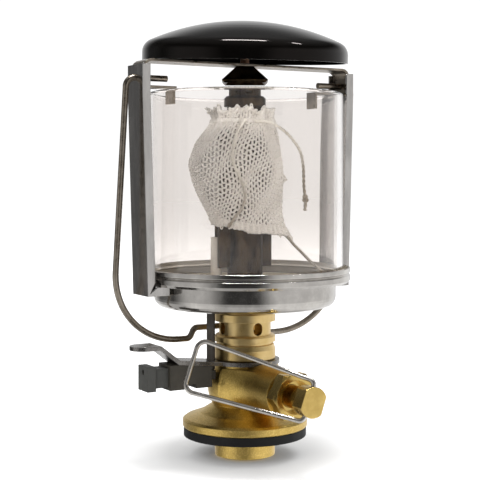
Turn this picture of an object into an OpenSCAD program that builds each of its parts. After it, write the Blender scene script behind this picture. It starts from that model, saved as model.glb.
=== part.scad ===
// Butane lantern head that screws onto a gas cartridge.
// +Z is up, the origin is the mouth of the cartridge thread, and the two
// uprights stand on the X axis.

/* [Valve body] */
// Diameter of the boss that holds the cartridge thread
boss_d = 18; // [15:0.1:20]
// How far the boss stands out below the gasket
boss_h = 5.8; // [4:0.1:9]
// Diameter of the cartridge thread, cut as a plain bore
thread_d = 10.4; // [9:0.1:12]
// Depth of the cartridge thread
thread_depth = 9; // [7:0.1:10]
// Diameter of the gas way above the thread
gas_way_d = 2; // [1:0.1:3]
// Diameter of the base flange
flange_d = 37.2; // [34:0.1:44]
// Thickness of the base flange at its rim
flange_t = 2.8; // [2:0.1:4]
// Thickness of the rubber gasket
gasket_t = 2.5; // [1.5:0.1:4]
// How far the gasket stays inside the flange's edge
gasket_inset = 0.3; // [0.1:0.1:1]
// Diameter of the round swelling of the casting
casting_d = 22.4; // [20:0.1:23.2]
// Diameter of the land that carries the igniter bracket
land_d = 18.6; // [17:0.1:20]
// Height from the top of the flange to the land
land_rise = 16.1; // [15.5:0.1:18]
// Diameter of the threaded spigot above the land
spigot_d = 11.8; // [10:0.1:13]
// Length of the spigot above the land
spigot_h = 8.8; // [8.2:0.1:9.4]

/* [Valve] */
// Height of the valve barrel's axis above the flange
valve_rise = 10.1; // [9.4:0.1:11]
// Diameter of the valve barrel
barrel_d = 13.6; // [12:0.1:15]
// Length of the flare from the casting into the barrel
flare_len = 16; // [12:0.5:18]
// Reach of the barrel from the lantern's axis
barrel_reach = 24; // [21:0.5:27]
// Width of the gland nut across its flats
nut_af = 12.6; // [11:0.1:13]
// Length of the gland nut
nut_len = 4.6; // [3.5:0.1:6]
// Diameter of the mouth in the gland nut
nut_mouth_d = 9.4; // [8.5:0.1:10]
// Depth of the mouth in the gland nut
nut_mouth_depth = 2.6; // [1:0.1:3]
// Diameter of the valve stem
stem_d = 6.4; // [5:0.1:7]
// Bare length of stem between the nut and the head
stem_bare = 4.3; // [2:0.1:6]
// Length of the stem inside the barrel
stem_inside = 9; // [6:0.5:11]
// Diameter of the stem's head
head_d = 8.6; // [7.5:0.1:10]
// Width of the head across its two flats
head_flat = 7; // [6.5:0.1:8]
// Length of the stem's head
head_len = 4.6; // [4:0.1:8]
// Length of the valve needle
needle_len = 3; // [2:0.1:4]

/* [Wire handle of the valve] */
// Diameter of the handle's wire
loop_wire_d = 1.3; // [0.8:0.1:1.6]
// Reach of the handle from its pivot
loop_reach = 35; // [27:0.5:38]
// Height of the handle at its pivot
loop_near_h = 11.4; // [10.5:0.1:13]
// Height of the handle at its far end
loop_far_h = 15; // [12:0.1:16]
// Bend radius of the handle's corners
loop_bend = 2.6; // [1.5:0.1:3]
// Turn of the stem about its own axis
stem_turn = 20; // [15:1:28]
// Fold of the handle, from straight out
loop_fold = 134; // [120:1:140]

/* [Mixer] */
// Diameter of the turned rings on the mixer
ring_d = 18.3; // [17:0.1:20]
// Diameter of the neck with the air holes
neck_d = 15.5; // [14:0.1:16.5]
// Height of the nut that clamps the bracket
clamp_nut_h = 4.5; // [3.5:0.1:6]
// Height of the groove above that nut
groove_h = 0.8; // [0.5:0.1:1.5]
// Height of the mixer's lower ring
low_ring_h = 2; // [1.5:0.1:3]
// Height of the neck with the air holes
neck_h = 4.1; // [4:0.1:6]
// Height of the mixer's upper ring
high_ring_h = 2.5; // [1.5:0.1:3]
// Height of the step between the upper ring and the tray
step_h = 1.2; // [0.5:0.1:2]
// Number of air holes
air_holes = 4; // [2:1:6]
// Width of an air hole
air_hole_w = 3; // [2:0.1:3.4]
// Height of an air hole
air_hole_h = 3.7; // [3.5:0.1:3.9]
// Diameter of the mixing bore
mix_bore_d = 7.6; // [5:0.1:8]
// Diameter of the mixer's spigot that holds the burner tube
tube_spigot_d = 9.2; // [8.6:0.1:9.4]
// Height of the tube nut on the tray
tube_nut_h = 2.6; // [1.5:0.1:4]
// Width of the tube nut across its flats
tube_nut_af = 13; // [12:0.1:13.2]

/* [Igniter] */
// Thickness of the igniter bracket
bracket_t = 1.2; // [0.8:0.1:1.4]
// Diameter of the bracket's ring
bracket_ring_d = 20.8; // [19.5:0.1:21.4]
// Width of the bracket's arm
arm_w = 8; // [6.5:0.1:9]
// Rise of the arm above the ring
arm_rise = 1.5; // [1:0.1:2.4]
// Rise of the finger tongue above the arm
tongue_rise = 4.6; // [3:0.1:6]
// Reach of the arm's level stretch from the axis
arm_reach = 24; // [23:0.5:26]
// Reach of the finger tongue from the axis
tongue_reach = 37.5; // [35:0.5:39]
// Height of the igniter's housing
housing_h = 7.2; // [6.8:0.1:8]
// Width of the igniter's housing
housing_w = 7.6; // [6.8:0.1:8]
// Distance of the housing's inner end from the axis
housing_start = 13.2; // [13:0.1:15]
// Length of the igniter's housing
housing_len = 13.6; // [12:0.1:14]
// Travel of the igniter's button
button_travel = 3.6; // [2:0.1:4]
// Width of the button's head
button_w = 6.4; // [5:0.1:6.8]
// Height of the button's head
button_h = 7.1; // [6.4:0.1:7.6]
// Thickness of the button's head
button_t = 2.6; // [2:0.1:3.5]
// Diameter of the sleeve on the igniter's lead
lead_d = 2.5; // [1.8:0.1:2.6]
// Distance of the lead from the axis
lead_x = 11.6; // [11.5:0.1:12]
// Distance of the electrode from the axis, along the uprights
electrode_x = 8; // [7.9:0.1:8.6]
// Distance of the electrode behind the burner's fin
electrode_y = 3.2; // [3:0.1:4]
// Diameter of the electrode's ceramic
ceramic_d = 3.4; // [2.8:0.1:3.6]
// Height of the ceramic above the tray's floor
ceramic_h = 20.6; // [16:0.1:20.8]
// Diameter of the electrode wire
electrode_d = 1; // [0.8:0.1:1.4]
// Height of the electrode wire above its ceramic
electrode_h = 6; // [3:0.5:9]

/* [Tray] */
// Thickness of the tray's sheet
tray_t = 0.6; // [0.5:0.1:0.8]
// Diameter of the tray's lower wall
tray_low_d = 54.4; // [50:0.2:58]
// Height of the tray's lower wall
tray_low_h = 7.9; // [7:0.1:9]
// Height of the tray's rim above its step
tray_rim_h = 3.8; // [3:0.1:6]
// Radius of the tray's lower corner
tray_corner = 3; // [1.5:0.1:3.6]
// Rise of the tray's dished floor towards its wall
tray_rise = 0.8; // [0.3:0.1:1.2]
// Diameter of the flat middle of the tray's floor
tray_flat_d = 28; // [26:0.5:34]
// Gap between the glass and the tray's rim
rim_gap = 1.5; // [1.1:0.1:2]

/* [Glass] */
// Outer diameter of the glass
glass_d = 58.8; // [56:0.2:62]
// Thickness of the glass
glass_t = 1.8; // [1.4:0.1:2.2]
// Height of the glass
glass_h = 55.7; // [52:0.1:60]

/* [Burner] */
// Diameter of the burner tube
tube_d = 10.6; // [10:0.1:11.6]
// Wall of the burner tube
tube_wall = 0.6; // [0.4:0.05:0.65]
// Reach of the tube's seam fins from the axis
fin_reach = 9; // [7:0.1:9.2]
// Thickness of the tube's seam fins
fin_t = 1.2; // [0.8:0.1:1.6]
// Height of the fins' lower ends above the tray's floor
fin_low = 11.6; // [8:0.1:16]
// Distance of the fins' upper ends below the tube's top
fin_drop = 9.4; // [8.6:0.1:12]
// Gap between the burner cap and the deflector over it
burner_gap = 1.4; // [0.8:0.1:3]
// Diameter of the burner cap
cap_d = 12.5; // [12.2:0.1:14]
// Height of the burner cap
cap_h = 3.1; // [2.5:0.1:4]
// Diameter of the cap's slotted neck
cap_neck_d = 9.6; // [8:0.1:10.5]
// Height of the cap's slotted neck
cap_neck_h = 2.4; // [1.5:0.1:2.6]

/* [Mantle] */
// Height of the mantle's hem above the tray's floor
mantle_low = 21.4; // [19:0.1:24]
// Distance of the frill's edge below the top of the tube
frill_drop = 1.2; // [0.8:0.1:1.6]
// Diameter of the mantle at its hem
mantle_d = 21.8; // [21.6:0.1:23]
// How far the mantle's belly swells past its hem
mantle_belly = 2.8; // [1.5:0.1:3.4]
// How far the belly leans to one side
mantle_lean = 1.9; // [0.5:0.1:2.4]
// Depth of the mantle's soft folds
mantle_fold = 0.45; // [0.2:0.05:0.6]
// Gap between the gathered neck and the burner cap
gather_gap = 1.4; // [1.3:0.1:2]
// Depth of the pleats in the gathered neck
pleat_depth = 0.7; // [0.4:0.1:1]
// Flare of the frill above the neck
frill_flare = 1.3; // [0.8:0.1:2]
// Thickness of the mantle's knit
mantle_t = 0.8; // [0.6:0.1:1.2]
// Diameter of the mantle's strings
string_d = 1; // [0.7:0.1:1.2]

/* [Frame] */
// Thickness of the uprights' sheet
upright_t = 0.7; // [0.5:0.1:1]
// Width of the uprights
upright_w = 10; // [8.6:0.2:12]
// Depth of the uprights' channel
channel_depth = 2.5; // [2:0.1:2.6]
// Gap between the uprights' channel and the tray's rim
channel_gap = 0.4; // [0.3:0.1:1]
// Outward lean of the uprights over their height
upright_lean = 1.7; // [1:0.1:2.5]
// Height of the uprights' straight top stretch
upright_top = 7.4; // [7:0.1:9]
// Thickness of the lid's strap
strap_t = 0.7; // [0.5:0.1:1]
// Radius of the strap's top corners
strap_bend = 2; // [1:0.1:2.4]
// Width of the lid's strap
strap_w = 8; // [7:0.1:8.4]
// Width of the tongues that hold the glass
clip_w = 5; // [3:0.1:6.5]
// Reach of the tongues down inside the glass
clip_drop = 4; // [3:0.1:6]
// Gap between the tongues and the glass
clip_gap = 0.4; // [0.3:0.1:0.8]
// Gap between the tongues and the inside of the glass
clip_inside_gap = 2.8; // [1:0.1:3.4]
// Height of the lid's strap above the tongues
ear_h = 8.2; // [8:0.1:11]

/* [Lid] */
// Diameter of the lid
lid_d = 61.6; // [58:0.2:66]
// Height of the lid
lid_h = 12.2; // [9:0.1:15]
// Thickness of the lid's sheet
lid_t = 0.7; // [0.5:0.1:1]
// Height of the lid's straight wall
lid_wall_h = 2.4; // [1.5:0.1:3.5]
// Radius of the lid's shoulder
lid_shoulder = 4; // [2.5:0.1:5]
// Lean of the loosely riveted lid over the strap
lid_lean = 4.1; // [1:0.1:5]
// Turn of the lid's low side from the front
lid_low_side = 14; // [0:1:30]
// Diameter of the stud that holds the lid
stud_d = 2.6; // [2.4:0.1:3]
// Reach of a deflector wing along its slope
wing_len = 5.6; // [4:0.1:6]
// Width of the deflector's flat top
deflector_flat = 4.2; // [4:0.1:6]
// Thickness of the deflector's sheet
deflector_t = 1.1; // [0.8:0.1:1.2]
// Turn of the deflector on its stud
deflector_turn = 30; // [0:5:45]

/* [Carrying bail] */
// Diameter of the bail's wire
bail_wire_d = 1.8; // [1.6:0.1:2.1]
// Height of the bail's pivot below the strap
pivot_drop = 4.6; // [4.2:0.1:5]
// Length of the bail from its pivot
bail_len = 77.6; // [77.2:0.1:80]
// Gap between the bail's legs and the uprights
bail_gap = 1.8; // [1:0.1:3]
// Outward lean of the bail's legs over their length
bail_lean = 0.2; // [0:0.1:2]
// Radius of the bail's lower corners
bail_corner = 21.5; // [15:0.5:22]
// Reach of the bail's pins inside the ears
bail_pin_in = 8.6; // [5:0.1:9]
// Half width of the bail's hanging notch
notch_half = 13.6; // [12:0.1:15]
// Height of the bail's hanging notch
notch_h = 3.2; // [3:0.1:4]
// Lean of the hanging bail against the mixer
bail_rest = 7.3; // [7.1:0.1:8]

/* [Fits] */
// Radial clearance of pieces that turn or slide
run_fit = 0.05; // [0.02:0.01:0.09]
// Radial clearance of pieces that screw or push together
seat_fit = 0.1; // [0.05:0.01:0.2]
// Clearance around loose pieces
loose_fit = 0.3; // [0.2:0.05:0.4]

/* [Hidden] */
$fn = 64;
brass = [0.72, 0.55, 0.24];
steel = [0.66, 0.65, 0.63];
dark_steel = [0.26, 0.23, 0.2];
// A cut runs this far past the face that it opens
through = 1;

// Heights of the stack, from the cartridge up
gasket_z = boss_h;
flange_z = gasket_z + gasket_t;
flange_top = flange_z + flange_t;
valve_z = flange_top + valve_rise;
land_z = flange_top + land_rise;
bracket_top = land_z + bracket_t;
mixer_z = bracket_top + clamp_nut_h;
low_ring_z = mixer_z + groove_h;
neck_z = low_ring_z + low_ring_h;
high_ring_z = neck_z + neck_h;
step_z = high_ring_z + high_ring_h;
tray_z = step_z + step_h;
floor_z = tray_z + tray_t;
tray_step_z = tray_z + tray_low_h;
glass_z = tray_step_z + tray_t;
glass_top = glass_z + glass_h;
clip_z = glass_top + clip_gap;
strap_z = clip_z + ear_h - strap_t;
strap_top = strap_z + strap_t;
pivot_z = strap_z - pivot_drop;
lid_top = strap_top + lid_h;
spigot_top = land_z + spigot_h;
wing_drop = wing_len * sin(45);
deflector_z = strap_z - deflector_t - wing_drop;
tube_top = deflector_z - burner_gap - cap_neck_h - tube_wall;
tube_len = tube_top - floor_z;
fin_high = tube_len - fin_drop;
mantle_h = tube_len - frill_drop - mantle_low;
lid_lift = (strap_w / 2 * cos(lid_low_side) + lid_d / 2 * sin(lid_low_side)) * sin(lid_lean);
// Faces that only touch are left this far apart
touch = 0.02;

// Radii of the tray and the frame around it
glass_r = glass_d / 2;
rim_r = glass_r + rim_gap + tray_t;
tray_low_r = tray_low_d / 2;
upright_foot_x = rim_r + channel_gap + channel_depth;
upright_top_x = upright_foot_x + upright_lean;
ear_x = upright_top_x - upright_t;
tab_reach = tray_low_r + loose_fit;
tab_z = tray_step_z - channel_depth;

// Valve, from the lantern's axis outwards
nut_end = barrel_reach + nut_len;
head_start = nut_end + stem_bare;
handle_reach = head_start + head_len / 2;
stem_start = barrel_reach - stem_inside;
stem_bore_d = stem_d + 2 * run_fit;
loop_bore_d = loop_wire_d + 2 * run_fit;
loop_pin = head_d / 2 - loop_wire_d;

// Igniter, outwards along its arm
arm_z = land_z + arm_rise;
tongue_z = arm_z + tongue_rise;
arm_foot = bracket_ring_d / 2 - 1;
housing_end = housing_start + housing_len;
function under_arm(x) =
    land_z - touch + arm_rise * min(1, (x - arm_foot) / (arm_reach - arm_foot));
housing_z = arm_z - housing_h;
button_mid_z = housing_z + housing_h / 2;
plunger_h = button_h - 1.6;
plunger_w = button_w - 1.4;
plunger_inside = 5;
button_gap = 0.6;
button_start = housing_end + button_travel + button_gap;
tongue_slope = 6;
lead_hole_d = lead_d + 2 * loose_fit;
outlet_z = land_z - 1.2;
outlet_h = 2.6;

// Bail, from its pivot down
bail_top_x = upright_top_x + bail_gap + bail_wire_d / 2;
bail_foot_x = bail_top_x + bail_lean;
bail_tip_x = ear_x - strap_t - bail_pin_in;
bail_bend = 2.6;
notch_bend = 1.6;
notch_slope = 1.4;

// Points on a circular arc from one angle to another
function arc(centre, r, from, to, steps = 6) =
    [for (i = [0 : steps])
        let (a = from + (to - from) * i / steps)
        centre + r * [cos(a), sin(a)]];

function unit(v) = v / norm(v);
function left_of(v) = [-v.y, v.x];

// Mitred offset of a bent line, at its point i
function offset_at(pts, i, d) =
    let (last = len(pts) - 1,
         before = unit(pts[max(i, 1)] - pts[max(i, 1) - 1]),
         after = unit(pts[min(i + 1, last)] - pts[min(i, last - 1)]),
         side = left_of(unit(before + after)))
    pts[i] + side * d / (side * left_of(before));

// Section of a folded sheet: the line, and the line set off to its left
module folded(pts, t, base = 0) {
    last = len(pts) - 1;
    near_side = [for (i = [0 : last]) offset_at(pts, i, base)];
    far_side = [for (i = [last : -1 : 0]) offset_at(pts, i, base + t)];
    polygon(concat(near_side, far_side));
}

// A section drawn in X and Z, carried across Y with its middle at 0
module across(width) {
    translate([0, width / 2, 0])
        rotate([90, 0, 0])
            linear_extrude(width)
                children();
}

// One straight stretch of wire in the XY plane
module wire_run(from, to, r) {
    d = to - from;
    translate([from.x, from.y, 0])
        rotate([0, 90, atan2(d.y, d.x)])
            cylinder(r = r, h = norm(d));
}

// Bent wire in the XY plane through [x, y, bend radius] points; the bends
// swell by a hair, and each straight run laps into them
module bent_wire(pts, r) {
    last = len(pts) - 1;
    lap = 0.1;
    swell = 0.03;
    at = [for (p = pts) [p.x, p.y]];
    turn = [for (i = [0 : last])
        i == 0 || i == last ? 0 :
            let (a = unit(at[i] - at[i - 1]), b = unit(at[i + 1] - at[i]))
            atan2(a.x * b.y - a.y * b.x, a * b)];
    trim = [for (i = [0 : last]) pts[i].z * tan(abs(turn[i]) / 2)];
    for (i = [0 : last - 1]) {
        dir = unit(at[i + 1] - at[i]);
        from = at[i] + dir * (trim[i] - (i > 0 ? lap : 0));
        to = at[i + 1] - dir * (trim[i + 1] - (i < last - 1 ? lap : 0));
        wire_run(from, to, r);
    }
    for (i = [1 : last - 1]) {
        dir = unit(at[i] - at[i - 1]);
        side = sign(turn[i]);
        centre = at[i] - dir * trim[i] + left_of(dir) * side * pts[i].z;
        start = atan2(dir.y, dir.x) - side * 90;
        translate([centre.x, centre.y, 0])
            rotate([0, 0, turn[i] > 0 ? start : start + turn[i]])
                rotate_extrude(angle = abs(turn[i]))
                    translate([pts[i].z, 0])
                        circle(r + swell);
    }
}

module ring(outer_d, inner_d, h) {
    difference() {
        cylinder(d = outer_d, h = h);
        translate([0, 0, -through])
            cylinder(d = inner_d, h = h + 2 * through);
    }
}

// The valve's own frame: its X axis runs out along the stem
module at_valve() {
    translate([0, 0, valve_z])
        rotate([0, 0, -90])
            children();
}

// A cylinder along the valve's axis between two distances
module along_valve(from, to, d) {
    translate([from, 0, 0])
        rotate([0, 90, 0])
            cylinder(d = d, h = to - from);
}

// Cast brass body: boss, dished flange, round swelling, barrel and spigot
module valve_body() {
    flange_r = flange_d / 2;
    foot_r = casting_d / 2;
    waist_r = land_d / 2 - 1.2;
    barrel_r = barrel_d / 2;
    flare = [for (x = [3 : 1 : flare_len])
        [barrel_r + (foot_r - barrel_r) * 1.45 * pow(1 - x / flare_len, 2), x]];
    color(brass)
    difference() {
        union() {
            cylinder(d = boss_d, h = flange_z);
            rotate_extrude()
                polygon([[0, flange_z], [flange_r - 0.4, flange_z],
                         [flange_r, flange_z + 0.4], [flange_r, flange_top - 0.6],
                         [flange_r - 0.8, flange_top], [foot_r + 2.4, flange_top + 1.5],
                         [foot_r, flange_top + 3], [waist_r, flange_top + 5],
                         [waist_r, land_z - 3.6], [land_d / 2, land_z - 1.8],
                         [land_d / 2, land_z], [0, land_z]]);
            intersection() {
                translate([0, 0, valve_z - 0.6])
                    sphere(d = casting_d);
                translate([0, 0, flange_z])
                    cylinder(d = flange_d, h = land_z - 2 - flange_z);
            }
            intersection() {
                at_valve()
                    rotate([0, 90, 0])
                        rotate_extrude()
                            polygon(concat([[0, 3]], flare, [[0, flare_len]]));
                translate([0, 0, flange_z])
                    cylinder(d = 2 * barrel_reach, h = land_z - 0.8 - flange_z);
            }
            difference() {
                at_valve()
                    along_valve(0, barrel_reach, barrel_d);
                translate([0, 0, land_z])
                    cylinder(d = bracket_ring_d + 1, h = barrel_d);
            }
            translate([0, 0, land_z])
                cylinder(d = spigot_d, h = spigot_h);
        }
        translate([0, 0, -through])
            cylinder(d = thread_d, h = thread_depth + through);
        cylinder(d = gas_way_d, h = spigot_top + through);
        at_valve() {
            along_valve(stem_start, barrel_reach + through, stem_bore_d);
            along_valve(0, stem_start, gas_way_d + 2 * run_fit);
        }
    }
}

// Flat rubber ring that seals on the cartridge
module base_gasket() {
    color([0.07, 0.07, 0.07])
        translate([0, 0, gasket_z])
            ring(flange_d - 2 * gasket_inset, boss_d + 2 * seat_fit, gasket_t);
}

// Hexagonal nut that closes the barrel round the stem
module gland_nut() {
    across_corners = nut_af / cos(30);
    color(brass)
    at_valve()
    difference() {
        intersection() {
            translate([barrel_reach, 0, 0])
                rotate([0, 90, 0])
                    rotate([0, 0, 30])
                        cylinder(d = across_corners, h = nut_len, $fn = 6);
            rotate([0, 90, 0])
                rotate_extrude()
                    polygon([[0, barrel_reach], [nut_af / 2, barrel_reach],
                             [across_corners / 2, barrel_reach + 0.7],
                             [across_corners / 2, nut_end - 0.7],
                             [nut_af / 2, nut_end], [0, nut_end]]);
        }
        along_valve(barrel_reach - through, nut_end + through, stem_bore_d);
        along_valve(nut_end - nut_mouth_depth, nut_end + through, nut_mouth_d);
    }
}

// Screwed jet on top of the spigot
module gas_jet() {
    jet_h = 2.4;
    jet_way_d = 0.6;
    color(brass)
    translate([0, 0, spigot_top])
    difference() {
        union() {
            cylinder(d = 5.4, h = jet_h * 0.4, $fn = 6);
            cylinder(d = 3.6, h = jet_h);
        }
        translate([0, 0, -through])
            cylinder(d = jet_way_d, h = jet_h + 2 * through);
    }
}

// Turning stem: needle, shank and a cross drilled head with two flats
module valve_stem() {
    needle_d = gas_way_d;
    color(brass)
    at_valve()
    rotate([-stem_turn, 0, 0])
    difference() {
        union() {
            along_valve(stem_start + loose_fit, head_start, stem_d);
            translate([stem_start + loose_fit - needle_len, 0, 0])
                rotate([0, 90, 0])
                    cylinder(d1 = needle_d / 4, d2 = needle_d, h = needle_len);
            intersection() {
                along_valve(head_start, head_start + head_len, head_d);
                translate([head_start, -head_flat / 2, -head_d])
                    cube([head_len, head_flat, 2 * head_d]);
            }
        }
        translate([handle_reach, 0, -head_d])
            cylinder(d = loop_bore_d, h = 2 * head_d);
    }
}

// Wire handle, sprung into the two ends of the stem's cross hole
module valve_handle() {
    near = loop_near_h / 2;
    far = loop_far_h / 2;
    pin_end = head_d / 2 - loop_pin;
    color(steel)
    at_valve()
    rotate([-stem_turn, 0, 0])
    translate([handle_reach, 0, 0])
    rotate([0, 0, -loop_fold])
    rotate([90, 0, 0])
        bent_wire([[0, pin_end, 0], [0, near, loop_bend - 1],
                   [loop_reach, far, loop_bend], [loop_reach, -far, loop_bend],
                   [0, -near, loop_bend - 1], [0, -pin_end, 0]],
                  loop_wire_d / 2);
}

// Turned nut that clamps the igniter bracket on the land
module clamp_nut() {
    r = ring_d / 2;
    bore_r = spigot_d / 2 + seat_fit;
    color(brass)
    rotate_extrude()
        polygon([[bore_r, bracket_top], [r - 0.3, bracket_top], [r, bracket_top + 0.3],
                 [r, mixer_z - 1.5], [r - 0.5, mixer_z], [bore_r, mixer_z]]);
}

// Turned mixer with its air holes, and the spigot for the burner tube
module mixer() {
    ring_r = ring_d / 2;
    neck_r = neck_d / 2;
    spigot_r = tube_spigot_d / 2;
    groove_r = ring_r - 0.9;
    socket_d = spigot_d + 2 * seat_fit;
    top = floor_z + tube_nut_h + 4;
    straight = (air_hole_h - air_hole_w) / 2;
    hole_z = neck_z + neck_h / 2;
    color(brass)
    difference() {
        rotate_extrude()
            polygon([[0, mixer_z], [groove_r, mixer_z], [groove_r, low_ring_z],
                     [ring_r, low_ring_z], [ring_r, neck_z - 0.5], [ring_r - 0.5, neck_z],
                     [neck_r, neck_z], [neck_r, high_ring_z], [ring_r, high_ring_z],
                     [ring_r, step_z - 0.3], [ring_r - 0.3, step_z], [neck_r, step_z],
                     [neck_r, tray_z], [spigot_r, tray_z], [spigot_r, top], [0, top]]);
        translate([0, 0, mixer_z - through])
            cylinder(d = socket_d, h = spigot_top - mixer_z + through + loose_fit);
        translate([0, 0, mixer_z])
            cylinder(d = mix_bore_d, h = top - mixer_z + through);
        for (i = [0 : air_holes - 1])
            rotate([0, 0, i * 360 / air_holes])
                for (up = [-straight, straight])
                    translate([0, 0, hole_z + up])
                        rotate([0, 90, 0])
                            cylinder(d = air_hole_w, h = ring_d);
    }
}

// Steel bracket: a ring on the land, an arm and a finger tongue
module igniter_bracket() {
    ring_r = bracket_ring_d / 2;
    tongue_start = arm_reach + tongue_slope;
    tip_r = arm_w / 2;
    color(steel)
    difference() {
        union() {
            translate([0, 0, land_z])
                cylinder(r = ring_r, h = bracket_t);
            mirror([1, 0, 0])
                intersection() {
                    across(arm_w)
                        folded([[spigot_d / 2, land_z], [arm_foot, land_z],
                                [arm_reach, arm_z],
                                [tongue_start, tongue_z], [tongue_reach, tongue_z]],
                               bracket_t);
                    union() {
                        translate([0, -arm_w, 0])
                            cube([tongue_reach - tip_r, 2 * arm_w, tongue_z * 2]);
                        translate([tongue_reach - tip_r, 0, 0])
                            cylinder(r = tip_r, h = tongue_z * 2);
                    }
                }
        }
        translate([0, 0, land_z - through])
            cylinder(d = spigot_d + 2 * seat_fit, h = bracket_t + 2 * through);
        translate([-lead_x, 0, land_z - through])
            cylinder(d = lead_hole_d, h = arm_rise + bracket_t + 2 * through);
    }
}

// Plastic housing of the piezo igniter, under the arm
module igniter_housing() {
    bore_w = plunger_w + 2 * run_fit;
    bore_h = plunger_h + 2 * run_fit;
    bore_len = plunger_inside + button_travel + loose_fit;
    lip = 1.2;
    color([0.18, 0.16, 0.14])
    difference() {
        union() {
            mirror([1, 0, 0])
                across(housing_w)
                    polygon([[housing_start, housing_z], [housing_end, housing_z],
                             [housing_end, under_arm(housing_end)],
                             [arm_reach, under_arm(arm_reach)],
                             [housing_start, under_arm(housing_start)]]);
            translate([-housing_start - through, -lead_d / 2 - lip, outlet_z - outlet_h])
                cube([housing_start + through - lead_x + 0.3, lead_d + 2 * lip, outlet_h]);
        }
        translate([-housing_end - through, -bore_w / 2, button_mid_z - bore_h / 2])
            cube([bore_len + through, bore_w, bore_h]);
        translate([-housing_end + housing_len * 0.4, -housing_w, housing_z - through])
            cube([3, 2 * housing_w, through + 1.2]);
    }
}

// Push button that slides into the housing
module igniter_button() {
    color([0.24, 0.24, 0.23])
    difference() {
        union() {
            translate([-button_start - button_t, -button_w / 2, button_mid_z - button_h / 2])
                cube([button_t, button_w, button_h]);
            translate([-button_start, -plunger_w / 2, button_mid_z - plunger_h / 2])
                cube([button_start - housing_end + plunger_inside, plunger_w, plunger_h]);
        }
        translate([-button_start - button_t - through, 0, button_mid_z + button_h / 4])
            rotate([0, 90, 0])
                cylinder(d = 1.6, h = through + 0.8);
    }
}

// Sleeved lead from the housing up to the tray
module igniter_lead() {
    color([0.12, 0.11, 0.1])
        translate([-lead_x, 0, outlet_z])
            cylinder(d = lead_d, h = tray_z - outlet_z);
}

// Ceramic rod of the electrode, seated in the tray's floor
module electrode_ceramic() {
    color([0.88, 0.85, 0.78])
    translate([-electrode_x, electrode_y, 0])
    difference() {
        translate([0, 0, tray_z])
            cylinder(d = ceramic_d, h = tray_t + ceramic_h);
        translate([0, 0, floor_z + ceramic_h - electrode_h])
            cylinder(d = electrode_d + 2 * run_fit, h = electrode_h + through);
    }
}

// Electrode wire, held in the end of the ceramic
module electrode_wire() {
    color(dark_steel)
        translate([-electrode_x, electrode_y, floor_z + ceramic_h - electrode_h])
            cylinder(d = electrode_d, h = 2 * electrode_h);
}

// Pressed steel tray: low wall, step for the glass and a beaded rim
module tray() {
    corner = tray_corner;
    bead = 0.5;
    bore_r = tube_spigot_d / 2 + seat_fit;
    low = [tray_low_r - corner, tray_z + tray_rise + corner];
    flat_r = tray_flat_d / 2;
    rim_top = glass_z + tray_rim_h;
    bead_z = glass_z + tray_rim_h * 0.55;
    color(steel)
    difference() {
        rotate_extrude($fn = 96)
            polygon(concat(
                [[bore_r, tray_z], [flat_r, tray_z]],
                arc(low, corner, -90, 0),
                [[tray_low_r, tray_step_z], [rim_r - 0.8, tray_step_z],
                 [rim_r, tray_step_z + 0.8], [rim_r, bead_z - bead],
                 [rim_r - bead, bead_z], [rim_r, bead_z + bead], [rim_r, rim_top],
                 [rim_r - tray_t, rim_top], [rim_r - tray_t, bead_z + bead],
                 [rim_r - bead - tray_t, bead_z], [rim_r - tray_t, bead_z - bead],
                 [rim_r - tray_t, glass_z], [tray_low_r - tray_t, glass_z]],
                arc(low, corner - tray_t, 0, -90),
                [[flat_r, floor_z], [bore_r, floor_z]]));
        translate([-electrode_x, electrode_y, tray_z - through])
            cylinder(d = ceramic_d + 2 * run_fit, h = tray_t + 2 * through);
    }
}

// Hexagonal nut that clamps the tray on the mixer
module tube_nut() {
    color(brass)
        translate([0, 0, floor_z])
            difference() {
                cylinder(d = tube_nut_af / cos(30), h = tube_nut_h, $fn = 6);
                translate([0, 0, -through])
                    cylinder(d = tube_spigot_d + 2 * seat_fit, h = tube_nut_h + 2 * through);
            }
}

// Burner tube: two pressed halves that meet in fins on the X axis
module burner_tube() {
    low = floor_z + tube_nut_h;
    bore_d = tube_d - 2 * tube_wall;
    port_d = 3;
    port_rows = 4;
    port_step = 8;
    first_port = floor_z + mantle_low + 3;
    color(dark_steel)
    difference() {
        union() {
            translate([0, 0, low])
                cylinder(d = tube_d, h = tube_top - low);
            translate([-fin_reach, -fin_t / 2, floor_z + fin_low])
                cube([2 * fin_reach, fin_t, fin_high - fin_low]);
        }
        translate([0, 0, low - through])
            cylinder(d = bore_d, h = tube_top - low + 2 * through);
        for (i = [0 : port_rows - 1])
            translate([0, tube_d, first_port + i * port_step])
                rotate([90, 0, 0])
                    cylinder(d = port_d, h = 2 * tube_d);
    }
}

// Cap of the burner, with a slotted neck
module burner_cap() {
    cap_z = tube_top - cap_h + tube_wall;
    neck_low = cap_z + cap_h;
    slot_w = 1.4;
    slot_h = 0.9;
    color(dark_steel)
    difference() {
        union() {
            rotate_extrude()
                polygon([[0, cap_z], [cap_d / 2, cap_z], [cap_d / 2, neck_low - 0.7],
                         [cap_d / 2 - 0.7, neck_low], [0, neck_low]]);
            translate([0, 0, neck_low])
                cylinder(d = cap_neck_d, h = cap_neck_h);
        }
        translate([0, 0, cap_z - through])
            cylinder(d = tube_d + 2 * seat_fit, h = tube_top - cap_z + through);
        for (a = [30, 120])
            rotate([0, 0, a])
                translate([-cap_d, cap_neck_d / 2 - slot_w * 1.6, neck_low + 0.4])
                    cube([2 * cap_d, slot_w, slot_h]);
    }
}

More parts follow.
